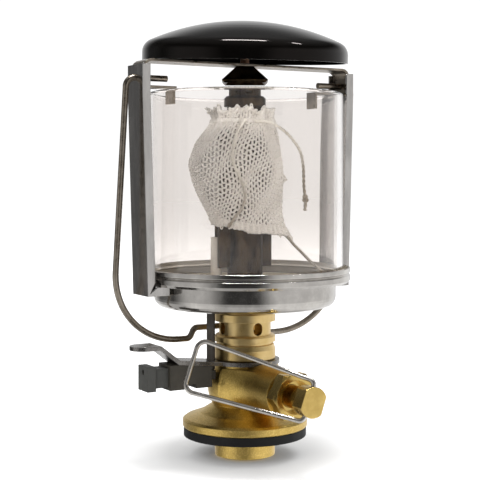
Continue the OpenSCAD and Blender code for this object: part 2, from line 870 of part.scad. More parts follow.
// Mantle: a knitted sock, gathered under a frill and open at its hem
mantle_sides = 36;
mantle_rings = 15;
mantle_bulge_side = 150;
function mantle_radius(u, a) =
    let (body = mantle_d / 2 + mantle_belly * sin(180 * min(u / 0.92, 1)),
         pleat = 0.5 + 0.5 * cos(9 * a + 20),
         gather = smooth_step(0.78, 0.95, u),
         frill = smooth_step(0.95, 1, u),
         lean = mantle_lean * sin(180 * min(u / 0.95, 1)) * cos(a - mantle_bulge_side),
         fold = mantle_fold * (1 - gather) * cos(5 * a + 70 * u) * u)
    (body + lean + fold) * (1 - gather)
    + (cap_d / 2 + gather_gap + pleat_depth * pleat) * gather
    + frill * frill_flare * (1 + 0.85 * pleat);
function smooth_step(from, to, u) =
    let (s = min(max((u - from) / (to - from), 0), 1)) s * s * (3 - 2 * s);

module mantle() {
    low = floor_z + mantle_low;
    last = mantle_rings - 1;
    n = mantle_sides;
    skin = [for (side = [0, 1], j = [0 : last], i = [0 : n - 1])
        let (u = j / last,
             a = i * 360 / n,
             r = mantle_radius(u, a) - side * mantle_t,
             ragged = u * (0.5 * cos(7 * a) + 0.3 * cos(4 * a + 50)))
        [r * cos(a), r * sin(a), low + u * mantle_h + (u == 1 ? ragged : 0)]];
    function at(side, j, i) = (side * mantle_rings + j) * n + (i + n) % n;
    outer = [for (j = [0 : last - 1], i = [0 : n - 1], k = [0, 1])
        k == 0 ? [at(0, j, i), at(0, j + 1, i), at(0, j + 1, i + 1)]
               : [at(0, j, i), at(0, j + 1, i + 1), at(0, j, i + 1)]];
    inner = [for (j = [0 : last - 1], i = [0 : n - 1], k = [0, 1])
        k == 0 ? [at(1, j, i), at(1, j + 1, i + 1), at(1, j + 1, i)]
               : [at(1, j, i), at(1, j, i + 1), at(1, j + 1, i + 1)]];
    ends = [for (i = [0 : n - 1], k = [0 : 3])
        k == 0 ? [at(0, 0, i), at(0, 0, i + 1), at(1, 0, i + 1)] :
        k == 1 ? [at(0, 0, i), at(1, 0, i + 1), at(1, 0, i)] :
        k == 2 ? [at(0, last, i), at(1, last, i), at(1, last, i + 1)] :
                 [at(0, last, i), at(1, last, i + 1), at(0, last, i + 1)]];
    color([0.9, 0.88, 0.83])
        polyhedron(skin, concat(outer, inner, ends));
}

// Points for the strings, above the tray's floor: one that lies on the mantle
// at a share of its height, and one that hangs at shares of its radius and height
string_lift = string_d / 2 + 0.1;
function on_mantle(u, a, lift = 0) =
    let (r = mantle_radius(u, a) + string_lift + lift * string_d)
    [r * cos(a), r * sin(a), mantle_low + u * mantle_h];
function hung(k, a, u) =
    let (r = k * mantle_d / 2)
    [r * cos(a), r * sin(a), mantle_low + u * mantle_h];
string_side_route = [on_mantle(0.9, 258, 0.3), on_mantle(0.9, 272, 0.3), hung(1.08, 285, 0.88),
                     hung(1.3, 302, 0.8), hung(1.54, 312, 0.68), hung(1.61, 318, 0.56),
                     hung(1.63, 320, 0.38), hung(1.67, 322, 0.27), hung(1.65, 321, 0.19)];
string_front_route = [on_mantle(0.92, 242, 0.1), on_mantle(0.84, 231, 0.6), on_mantle(0.77, 228, 0.1),
                      on_mantle(0.6, 226), on_mantle(0.46, 234), on_mantle(0.34, 240),
                      on_mantle(0.22, 238), on_mantle(0.1, 226), on_mantle(0, 216, 0.4)];
string_low_route = [on_mantle(0.05, 292), on_mantle(0, 300, 0.2), hung(1.25, 307, -0.07),
                    hung(1.49, 313, -0.13), hung(1.87, 315, -0.22), hung(2.14, 317, -0.29)];

// A string: one tube of 8 sides along its route
module string(route) {
    sides = 8;
    last = len(route) - 1;
    r = string_d / 2;
    function across_one(t) = unit(cross(t, abs(t.z) > 0.9 ? [1, 0, 0] : [0, 0, 1]));
    rings = [for (j = [0 : last])
        let (t = unit(route[min(j + 1, last)] - route[max(j - 1, 0)]),
             side = across_one(t),
             up = cross(t, side))
        for (i = [0 : sides - 1])
            route[j] + [0, 0, floor_z]
            + r * (cos(i * 360 / sides) * side + sin(i * 360 / sides) * up)];
    walls = [for (j = [0 : last - 1], i = [0 : sides - 1], k = [0, 1])
        let (n = (i + 1) % sides, a = j * sides, b = a + sides)
        k == 0 ? [a + i, b + i, b + n] : [a + i, b + n, a + n]];
    first_cap = [[for (i = [0 : sides - 1]) i]];
    last_cap = [[for (i = [sides - 1 : -1 : 0]) last * sides + i]];
    color([0.86, 0.82, 0.72])
        polyhedron(rings, concat(walls, first_cap, last_cap));
}

module string_side() {
    string(string_side_route);
}

module string_front() {
    string(string_front_route);
}

module string_low() {
    string(string_low_route);
}

// Glass cylinder with a fire polished rim
module glass() {
    inner_r = glass_r - glass_t;
    edge = glass_t / 2;
    color([0.9, 0.9, 0.88, 0.35])
        rotate_extrude($fn = 128)
            polygon(concat(
                [[inner_r, glass_z], [glass_r, glass_z]],
                arc([glass_r - edge, glass_top - edge], edge, 0, 180, 8)));
}

// Upright: a channel that leans out, with its foot under the tray's step
module upright() {
    bend_z = strap_top - upright_top - 1.6;
    top_z = strap_top - 1.6;
    line = [[tab_reach, tab_z], [upright_foot_x, tab_z],
            [upright_top_x, bend_z], [upright_top_x, top_z]];
    notch = channel_depth - upright_t;
    color(steel)
    difference() {
        union() {
            across(upright_w)
                folded(line, upright_t);
            for (side = [-1, 1])
                translate([0, side * (upright_w - upright_t) / 2, 0])
                    across(upright_t)
                        folded(line, channel_depth);
        }
        translate([upright_foot_x - upright_t, 0, tab_z + upright_t])
            across(2 * upright_w)
                polygon([[0, 0], [-notch - 1, notch + 0.3], [-notch + 0.2, notch + 1.4]]);
        translate([0, 0, pivot_z])
            rotate([0, 90, 0])
                cylinder(d = bail_wire_d + 2 * run_fit, h = 2 * upright_top_x);
    }
}

module upright_right() {
    upright();
}

module upright_left() {
    mirror([1, 0, 0])
        upright();
}

// Strap under the lid: its ears hold the pins, its tongues hold the glass
module lid_strap() {
    inside_x = glass_r - glass_t - clip_inside_gap;
    tip_z = glass_top - clip_drop;
    half = [[inside_x - strap_t, tip_z], [inside_x - strap_t, clip_z + strap_t],
            [ear_x - strap_t, clip_z + strap_t],
            for (p = arc([ear_x - strap_t - strap_bend, strap_z - strap_bend],
                         strap_bend, 0, 90, 4)) p];
    line = concat(half, [for (i = [len(half) - 1 : -1 : 0]) [-half[i].x, half[i].y]]);
    color(dark_steel)
    difference() {
        across(strap_w)
            folded(line, -strap_t);
        for (side = [-1, 1])
            translate([0, side * (clip_w + strap_w) / 2, tip_z - through])
                translate([-ear_x + 2 * strap_t, -strap_w / 2, 0])
                    cube([2 * (ear_x - 2 * strap_t), strap_w, clip_z + strap_t - tip_z + 2 * through]);
        translate([-2 * ear_x, 0, pivot_z])
            rotate([0, 90, 0])
                cylinder(d = bail_wire_d + 2 * run_fit, h = 4 * ear_x);
        translate([0, 0, strap_z - through])
            cylinder(d = stud_d + 2 * seat_fit, h = strap_t + 2 * through);
    }
}

// Deflector over the burner: a blunt pyramid, folded from four flaps
module heat_deflector() {
    half = deflector_flat / 2;
    reach = half + wing_drop + deflector_t;
    z = deflector_z + wing_drop;
    color([0.1, 0.09, 0.08])
    difference() {
        rotate([0, 0, -deflector_turn])
            for (a = [0 : 90 : 270])
                rotate([0, 0, a])
                    intersection() {
                        across(3 * reach)
                            folded([[0, z], [half, z], [half + wing_drop, deflector_z]],
                                   deflector_t);
                        translate([0, 0, deflector_z - through])
                            linear_extrude(wing_drop + deflector_t + 2 * through)
                                polygon([[0, 0], [reach, -reach], [reach, reach]]);
                    }
        translate([0, 0, z - through])
            cylinder(d = stud_d + 2 * seat_fit, h = deflector_t + 2 * through);
    }
}

// Stud under the lid, riveted over below the deflector
module lid_stud() {
    rivet_h = 1.1;
    rivet_d = stud_d + 1.2;
    z = deflector_z + wing_drop;
    color([0.5, 0.36, 0.26]) {
        translate([0, 0, z - rivet_h])
            cylinder(d1 = stud_d, d2 = rivet_d, h = rivet_h);
        translate([0, 0, z])
            cylinder(d = stud_d, h = lid_top + lid_lift - lid_t - 2 * seat_fit - z);
    }
}

// Enamelled lid: a shallow dome with a round shoulder, resting on the strap
module lid() {
    r = lid_d / 2;
    // The shoulder's arc gives way to the dome at this angle
    shoulder_end = 66;
    centre = [r - lid_shoulder, lid_wall_h];
    meet = centre + lid_shoulder * [cos(shoulder_end), sin(shoulder_end)];
    rise = lid_h - meet.y;
    dome_r = (meet.x * meet.x + rise * rise) / (2 * rise);
    dome_centre = [0, lid_h - dome_r];
    dome_from = atan2(meet.y - dome_centre.y, meet.x);
    color([0.03, 0.03, 0.03])
        translate([0, 0, strap_top + lid_lift + touch])
            rotate([0, 0, -lid_low_side])
            rotate([lid_lean, 0, 0])
                rotate_extrude($fn = 96)
                    polygon(concat(
                        [[r - lid_t, 0], [r, 0]],
                        arc(centre, lid_shoulder, 0, shoulder_end),
                        arc(dome_centre, dome_r, dome_from + 2, 90, 8),
                        arc(dome_centre, dome_r - lid_t, 90, dome_from + 2, 8),
                        arc(centre, lid_shoulder - lid_t, shoulder_end, 0)));
}

// Carrying bail, hanging behind the mixer, with a notch for a hook
module bail() {
    half = [[bail_tip_x, 0, 0], [bail_top_x, 0, bail_bend],
            [bail_foot_x, bail_len, bail_corner], [notch_half, bail_len, notch_bend],
            [notch_half - notch_slope, bail_len - notch_h, notch_bend]];
    other = [for (i = [len(half) - 1 : -1 : 0]) [-half[i].x, half[i].y, half[i].z]];
    color([0.4, 0.36, 0.3])
    translate([0, 0, pivot_z])
    rotate([bail_rest, 0, 0])
    rotate([-90, 0, 0])
        bent_wire(concat(half, other), bail_wire_d / 2);
}

valve_body();
base_gasket();
gland_nut();
gas_jet();
valve_stem();
valve_handle();
clamp_nut();
mixer();
igniter_bracket();
igniter_housing();
igniter_button();
igniter_lead();
electrode_ceramic();
electrode_wire();
tray();
tube_nut();
burner_tube();
burner_cap();
mantle();
string_side();
string_front();
string_low();
glass();
upright_left();
upright_right();
lid_strap();
heat_deflector();
lid_stud();
lid();
bail();
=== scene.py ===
"""Looks of a gas lantern head: finishes for its metal, glass and plastic, and its soft mantle."""

from __future__ import annotations

import logging
import math
from dataclasses import dataclass, field
from enum import Enum
from typing import Any

import bpy
import numpy as np
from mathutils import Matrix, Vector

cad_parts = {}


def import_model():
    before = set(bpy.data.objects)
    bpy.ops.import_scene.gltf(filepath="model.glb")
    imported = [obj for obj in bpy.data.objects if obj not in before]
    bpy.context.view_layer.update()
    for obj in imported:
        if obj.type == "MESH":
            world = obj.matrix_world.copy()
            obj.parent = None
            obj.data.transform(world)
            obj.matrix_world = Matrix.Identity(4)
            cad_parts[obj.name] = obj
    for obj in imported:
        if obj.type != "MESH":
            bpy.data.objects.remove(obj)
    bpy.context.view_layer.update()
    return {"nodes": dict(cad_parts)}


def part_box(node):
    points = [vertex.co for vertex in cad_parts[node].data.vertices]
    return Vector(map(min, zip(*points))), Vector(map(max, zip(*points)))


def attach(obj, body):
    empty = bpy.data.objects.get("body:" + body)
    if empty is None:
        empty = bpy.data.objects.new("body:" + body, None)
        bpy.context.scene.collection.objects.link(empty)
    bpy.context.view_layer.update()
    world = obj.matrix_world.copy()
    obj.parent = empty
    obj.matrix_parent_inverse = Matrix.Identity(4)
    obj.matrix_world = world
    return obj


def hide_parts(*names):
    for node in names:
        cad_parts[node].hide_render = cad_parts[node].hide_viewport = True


LOG = logging.getLogger("lantern")
MM = 0.001
Triple = tuple[float, float, float]
Colour = Triple
Pair = tuple[float, float]
Array = np.ndarray


class Term:
    """One socket of a material, with the operators that build Math nodes from it."""

    def __init__(self, finish_sheet: "NodeSheet", socket: Any) -> None:
        """Wraps a socket of a node sheet.

        Args:
            finish_sheet: The sheet that holds the socket's node.
            socket: The output socket.
        """
        self.sheet = finish_sheet
        self.socket = socket

    def _math(self, operation: str, first: Any, second: Any) -> "Term":
        """Adds one Math node.

        Args:
            operation: The Math node's operation.
            first: A term or a number.
            second: A term or a number.

        Returns:
            The node's value.
        """
        return self.sheet.add("ShaderNodeMath", {"operation": operation}, {0: first, 1: second})

    def __add__(self, other: Any) -> "Term":
        """Sum with a term or a number."""
        return self._math("ADD", self, other)

    def __radd__(self, other: Any) -> "Term":
        """Sum with a number on the left."""
        return self._math("ADD", other, self)

    def __sub__(self, other: Any) -> "Term":
        """Difference with a term or a number."""
        return self._math("SUBTRACT", self, other)

    def __rsub__(self, other: Any) -> "Term":
        """Difference from a number on the left."""
        return self._math("SUBTRACT", other, self)

    def __mul__(self, other: Any) -> "Term":
        """Product with a term or a number."""
        return self._math("MULTIPLY", self, other)

    def __rmul__(self, other: Any) -> "Term":
        """Product with a number on the left."""
        return self._math("MULTIPLY", other, self)

    def clamped(self) -> "Term":
        """The term held between 0 and 1."""
        return self.sheet.add("ShaderNodeClamp", {}, {"Value": self})

    def sine(self) -> "Term":
        """The sine of the term."""
        return self._math("SINE", self, 0.0)

    def step(self, low: float, high: float) -> "Term":
        """The term mapped smoothly from 0 at low to 1 at high.

        Args:
            low: Where the step starts.
            high: Where the step ends.

        Returns:
            The mapped value.
        """
        settings = {"interpolation_type": "SMOOTHSTEP", "clamp": True}
        sockets = {"Value": self, "From Min": low, "From Max": high}
        return self.sheet.add("ShaderNodeMapRange", settings, sockets)


class NodeSheet:
    """The node sheet of one material, with its one Principled shader."""

    def __init__(self, name: str) -> None:
        """Makes an empty material.

        Args:
            name: The material's name.
        """
        self.material = bpy.data.materials.new(name)
        self.material.use_nodes = True
        self.tree = self.material.node_tree
        self.shader = self.tree.nodes["Principled BSDF"]

    def put(self, socket: Any, value: Any) -> None:
        """Links a term to a socket, or sets the socket's own value.

        Args:
            socket: The input socket.
            value: A term, a number, a colour or a vector.
        """
        if isinstance(value, Term):
            self.tree.links.new(value.socket, socket)
        elif isinstance(value, tuple) and socket.type == "RGBA" and len(value) == 3:
            socket.default_value = (*value, 1.0)
        else:
            socket.default_value = value

    def add(self, kind: str, settings: dict, sockets: dict, out: Any = 0) -> Term:
        """Adds one node.

        Args:
            kind: The node's type.
            settings: Properties of the node, set first.
            sockets: Values or terms by socket name or number.
            out: Name or number of the output that is wanted.

        Returns:
            The node's output.
        """
        node = self.tree.nodes.new(kind)
        for key, value in settings.items():
            setattr(node, key, value)
        for key, value in sockets.items():
            self.put(node.inputs[key], value)
        return Term(self, node.outputs[out])

    def place(self) -> Term:
        """Object coordinates, in metres."""
        return self.add("ShaderNodeTexCoord", {}, {}, "Object")

    def uv(self) -> Term:
        """The piece's own UV map."""
        return self.add("ShaderNodeTexCoord", {}, {}, "UV")

    def axis(self, vector: Term, name: str) -> Term:
        """One part, X, Y or Z, of a vector."""
        return self.add("ShaderNodeSeparateXYZ", {}, {0: vector}, name)

    def scaled(self, vector: Term, scale: Triple) -> Term:
        """A vector stretched by three factors."""
        return self.add("ShaderNodeMapping", {}, {"Vector": vector, "Scale": scale})

    def noise(self, vector: Term, scale: float, detail: float = 3.0, rough: float = 0.55) -> Term:
        """Noise of a given scale per metre.

        Args:
            vector: Where the noise is read.
            scale: Cells per metre.
            detail: Octaves.
            rough: Share of the finer octaves.

        Returns:
            The noise, about 0.5.
        """
        sockets = {"Vector": vector, "Scale": scale, "Detail": detail, "Roughness": rough}
        return self.add("ShaderNodeTexNoise", {}, sockets)

    def blend(self, share: Any, low: Any, high: Any) -> Term:
        """A colour between two colours.

        Args:
            share: 0 gives the first colour, 1 the second.
            low: First colour.
            high: Second colour.

        Returns:
            The mixed colour.
        """
        factor, first, second, mixed = 0, 6, 7, 2
        sockets = {factor: share, first: low, second: high}
        return self.add("ShaderNodeMix", {"data_type": "RGBA"}, sockets, mixed)

    def vector(self, operation: str, first: Any, second: Any, out: str = "Vector") -> Term:
        """One Vector Math node.

        Args:
            operation: The node's operation.
            first: A vector.
            second: A vector.
            out: Vector, or Value for a product that is a number.

        Returns:
            The node's output.
        """
        return self.add("ShaderNodeVectorMath", {"operation": operation}, {0: first, 1: second}, out)

    def facing(self) -> Term:
        """The direction that the surface faces."""
        return self.add("ShaderNodeNewGeometry", {}, {}, "Normal")

    def eased(self, radius: float) -> Term:
        """The surface's direction with its edges rounded by a radius in metres."""
        return self.add("ShaderNodeBevel", {"samples": 6}, {"Radius": radius})

    def edge_wear_and_highlight(self, eased: Term) -> Term:
        """1 along edges, where the eased direction leaves the true one, and 0 elsewhere."""
        return (1.0 - self.vector("DOT_PRODUCT", eased, self.facing(), "Value")).step(0.02, 0.22)

    def bump(self, height: Term, strength: float, distance: float,
             eased: Term | None = None) -> Term:
        """A normal bent by a height.

        Args:
            height: Height of the surface.
            strength: Strength from 0 to 1.
            distance: Height of 1, in metres.
            eased: The surface's own direction, where its edges are rounded.

        Returns:
            The normal.
        """
        sockets = {"Height": height, "Strength": strength, "Distance": distance}
        if eased:
            sockets["Normal"] = eased
        return self.add("ShaderNodeBump", {}, sockets)

    def finish(self, **sockets: Any) -> bpy.types.Material:
        """Sets the shader's sockets, with _ for the spaces in their names.

        Args:
            sockets: Values or terms.

        Returns:
            The finished material.
        """
        for key, value in sockets.items():
            self.put(self.shader.inputs[key.replace("_", " ")], value)
        return self.material


class WorldSheet(NodeSheet):
    """The node sheet of the world, with its one Background shader."""

    def __init__(self, name: str) -> None:
        """Makes a world with an empty sheet.

        Args:
            name: The world's name.
        """
        world = bpy.data.worlds.new(name)
        world.use_nodes = True
        world.cycles.sampling_method = "NONE"
        bpy.context.scene.world = world
        self.tree = world.node_tree
        self.shader = self.tree.nodes["Background"]

    def place(self) -> Term:
        """The direction that is looked in."""
        return self.add("ShaderNodeTexCoord", {}, {}, "Generated")

    def ray(self, name: str) -> Term:
        """What the Light Path node says of a ray under a name."""
        return self.add("ShaderNodeLightPath", {}, {}, name)

    def close(self, colour: Term, strength: float) -> None:
        """Sets the background.

        Args:
            colour: Colour of the background.
            strength: Its strength.
        """
        self.put(self.shader.inputs["Color"], colour)
        self.put(self.shader.inputs["Strength"], strength)


@dataclass(frozen=True)
class MetalFinish:
    """A metal: two tones, fine grain, rounded edges lighter with wear and a painted highlight and, in
    the tray, a pale painted reflection on the inner faces.
    """

    name: str
    dark: Colour
    light: Colour
    rough_low: float
    rough_high: float
    mottle: float = 300.0
    grain: float = 2500.0
    grain_height: float = 0.00004
    stretch: Triple = (1.0, 1.0, 1.0)
    turned: float = 0.0
    edge: float = 0.00025
    # Pale colour painted on the tray's inner faces as reflection and light, and how far from the axis
    # it reaches.
    painted_inner_light: Colour | None = None
    painted_inner_light_reach: float = 0.0265
    speckle_and_glint: float = 0.0

    def inner_side(self, sheet: NodeSheet) -> Term:
        """1 on faces that look at the upright axis, or up within the painted light's reach, 0
        elsewhere.
        """
        none = (0.0, 0.0, 0.0)
        flat = sheet.vector("MULTIPLY", sheet.place(), (-1.0, -1.0, 0.0))
        inward = sheet.vector("NORMALIZE", flat, none)
        reach = sheet.vector("LENGTH", flat, none, "Value")
        within = 1.0 - reach.step(self.painted_inner_light_reach, self.painted_inner_light_reach + 1.0 * MM)
        floor = sheet.axis(sheet.facing(), "Z") * within
        wall = sheet.vector("DOT_PRODUCT", inward, sheet.facing(), "Value")
        return (wall + floor).step(0.1, 0.5)

    def make(self) -> bpy.types.Material:
        """Builds the material.

        Returns:
            Two tones mixed by broad noise and lighter at edges, as wear and a painted highlight,
            roughness by finer noise, and a bump of grain on rounded edges, with turned rings along Z
            where there are any.
        """
        sheet = NodeSheet(self.name)
        place = sheet.scaled(sheet.place(), self.stretch)
        broad = sheet.noise(place, self.mottle, 4.0, 0.6)
        fine = sheet.noise(place, self.grain, 2.0, 0.5)
        eased = sheet.eased(self.edge)
        # Fine noise in the tone: cast grain whose bright specks are painted glints.
        tone = broad.step(0.32, 0.7) * (1.0 - self.speckle_and_glint) + fine.step(0.42, 0.72) * self.speckle_and_glint
        # Lighter along edges: partly wear, partly a painted highlight.
        tone = (tone + sheet.edge_wear_and_highlight(eased) * 0.5).clamped()
        height = fine
        if self.turned:
            level = sheet.axis(sheet.place(), "Z")
            rings = (level * (2 * math.pi / self.turned)).sine()
            height = fine * 0.6 + rings * 0.4
        colour = sheet.blend(tone, self.dark, self.light)
        metallic = 1.0
        spread = self.rough_high - self.rough_low
        rough = (broad * 0.5 + fine * 0.5).step(0.3, 0.7) * spread + self.rough_low
        # Painted light: faces inside the tray turn a pale matt beige, a painted warm reflection and
        # painted light where the glass shades the inside.
        if self.painted_inner_light:
            painted_inner_share = self.inner_side(sheet) * (broad.step(0.2, 0.6) * 0.3 + 0.7)
            colour = sheet.blend(painted_inner_share, colour, self.painted_inner_light)
            metallic = 1.0 - painted_inner_share * 0.95
            rough = rough + painted_inner_share * 0.3
        return sheet.finish(
            Base_Color=colour,
            Metallic=metallic,
            Roughness=rough.clamped(),
            Normal=sheet.bump(height, 0.35, self.grain_height, eased),
        )


@dataclass(frozen=True)
class MouldedFinish:
    """Plastic, rubber, ceramic or enamel: one colour with grain and dust."""

    name: str
    colour: Colour
    worn: Colour
    rough_low: float
    rough_high: float
    grain: float = 2500.0
    grain_height: float = 0.00005
    mottle: float = 180.0
    shine: float = 0.5
    gloss: Colour = (1.0, 1.0, 1.0)
    edge: float = 0.0003

    def make(self) -> bpy.types.Material:
        """Builds the material.

        Returns:
            A colour that noise carries towards a worn one, a roughness that
            follows the same noise, and a fine moulded grain.
        """
        sheet = NodeSheet(self.name)
        place = sheet.place()
        broad = sheet.noise(place, self.mottle, 5.0, 0.6)
        fine = sheet.noise(place, self.grain, 2.0, 0.5)
        wear = broad.step(0.45, 0.8)
        spread = self.rough_high - self.rough_low
        return sheet.finish(
            Base_Color=sheet.blend(wear, self.colour, self.worn),
            Roughness=(broad.step(0.3, 0.7) * spread + self.rough_low).clamped(),
            Specular_IOR_Level=self.shine,
            Specular_Tint=self.gloss,
            Normal=sheet.bump(fine, 0.4, self.grain_height, sheet.eased(self.edge)),
        )


@dataclass(frozen=True)
class GlassFinish:
    """Clear glass with a faint warm tint and a trace of haze."""

    name: str
    tint: Colour
    haze: float

    def make(self) -> bpy.types.Material:
        """Builds the material.

        Returns:
            A transmitting shader whose roughness is a thin haze of noise.
        """
        sheet = NodeSheet(self.name)
        haze = sheet.noise(sheet.place(), 90.0, 4.0, 0.6)
        return sheet.finish(
            Base_Color=self.tint,
            Roughness=(haze.step(0.5, 0.9) * self.haze).clamped(),
            Transmission_Weight=1.0,
            IOR=1.47,
        )


class Metal(Enum):
    """The lantern's metal finishes."""

    # The bright specks of the cast grain are partly painted glints.
    CAST_BRASS = MetalFinish(
        "cast_brass", (0.63, 0.43, 0.115), (0.88, 0.64, 0.21), 0.29, 0.36, 420.0, 2500.0, 0.00028,
        speckle_and_glint=0.75)
    MACHINED_BRASS = MetalFinish(
        "machined_brass", (0.6, 0.42, 0.13), (0.76, 0.55, 0.19), 0.16, 0.26, 200.0, 1600.0, 0.00001)
    TURNED_BRASS = MetalFinish(
        "turned_brass", (0.7, 0.5, 0.2), (0.84, 0.63, 0.3), 0.27, 0.36, 160.0, 1800.0, 0.00001,
        turned=0.0005)
    BRIGHT_WIRE = MetalFinish(
        "bright_wire", (0.58, 0.545, 0.5), (0.72, 0.685, 0.635), 0.24, 0.36, 240.0, 1500.0, 0.00001)
    ZINC = MetalFinish(
        "zinc_sheet", (0.4, 0.385, 0.37), (0.54, 0.52, 0.5), 0.12, 0.26, 240.0,
        stretch=(1.0, 1.0, 0.25))
    BRACKET = MetalFinish(
        "zinc_bracket", (0.17, 0.16, 0.15), (0.3, 0.285, 0.27), 0.2, 0.36, 300.0)
    # Its pale inner colour is a painted reflection and painted light on the tray's inside faces.
    PLATED = MetalFinish(
        "plated_sheet", (0.46, 0.44, 0.415), (0.62, 0.595, 0.56), 0.08, 0.18, 120.0, 900.0, 0.00002,
        painted_inner_light=(0.88, 0.83, 0.73))
    SPRING_STEEL = MetalFinish(
        "spring_steel", (0.23, 0.195, 0.155), (0.35, 0.305, 0.25), 0.24, 0.38, 320.0)
    HEAT_TINTED = MetalFinish(
        "burner_steel", (0.026, 0.017, 0.011), (0.104, 0.07, 0.04), 0.32, 0.54, 340.0,
        stretch=(1.0, 1.0, 0.5))
    RIVET = MetalFinish(
        "copper_rivet", (0.28, 0.14, 0.08), (0.5, 0.3, 0.2), 0.3, 0.5, 400.0)


class Moulded(Enum):
    """The lantern's plastic, rubber, ceramic and enamel finishes."""

    ENAMEL = MouldedFinish(
        "lid_enamel", (0.0009, 0.0008, 0.0007), (0.0016, 0.0014, 0.0012), 0.05, 0.09, 700.0, 0.000004,
        90.0, 0.15, (1.0, 0.87, 0.82), 0.0002)
    RUBBER = MouldedFinish(
        "black_rubber", (0.004, 0.004, 0.004), (0.01, 0.01, 0.009), 0.5, 0.7, shine=0.25)
    PLASTIC = MouldedFinish(
        "igniter_plastic", (0.024, 0.021, 0.016), (0.044, 0.038, 0.029), 0.4, 0.6, shine=0.3)
    BUTTON = MouldedFinish(
        "button_plastic", (0.03, 0.03, 0.027), (0.05, 0.05, 0.044), 0.4, 0.6, shine=0.35)
    SLEEVE = MouldedFinish("lead_sleeve", (0.03, 0.025, 0.02), (0.06, 0.05, 0.04), 0.5, 0.7)
    CERAMIC = MouldedFinish("ceramic", (0.86, 0.82, 0.74), (0.6, 0.53, 0.43), 0.4, 0.6)


@dataclass(frozen=True)
class Lamp:
    """A rectangular lamp above or beside the lantern."""

    name: str
    where: Triple
    size: Pair
    power: float
    mirrored: bool = False
    turned: bool = False

    def hang(self, target: Triple, turn: float) -> None:
        """Makes the lamp, tilted towards a target.

        Args:
            target: The point that the lamp is tilted to.
            turn: Turn about the upright axis of a lamp that isn't turned to the target.
        """
        data = bpy.data.lights.new(self.name, "AREA")
        data.shape = "RECTANGLE"
        data.size, data.size_y = self.size
        data.energy = self.power
        lamp = bpy.data.objects.new(self.name, data)
        lamp.location = self.where
        lamp.visible_glossy = self.mirrored
        lamp.visible_transmission = False
        lamp.visible_camera = False
        x, y, z = np.array(target) - np.array(self.where)
        if self.turned:
            turn = math.atan2(-x, y)
        lamp.rotation_euler = (math.atan2(math.hypot(x, y), -z), 0.0, turn)
        bpy.context.scene.collection.objects.link(lamp)


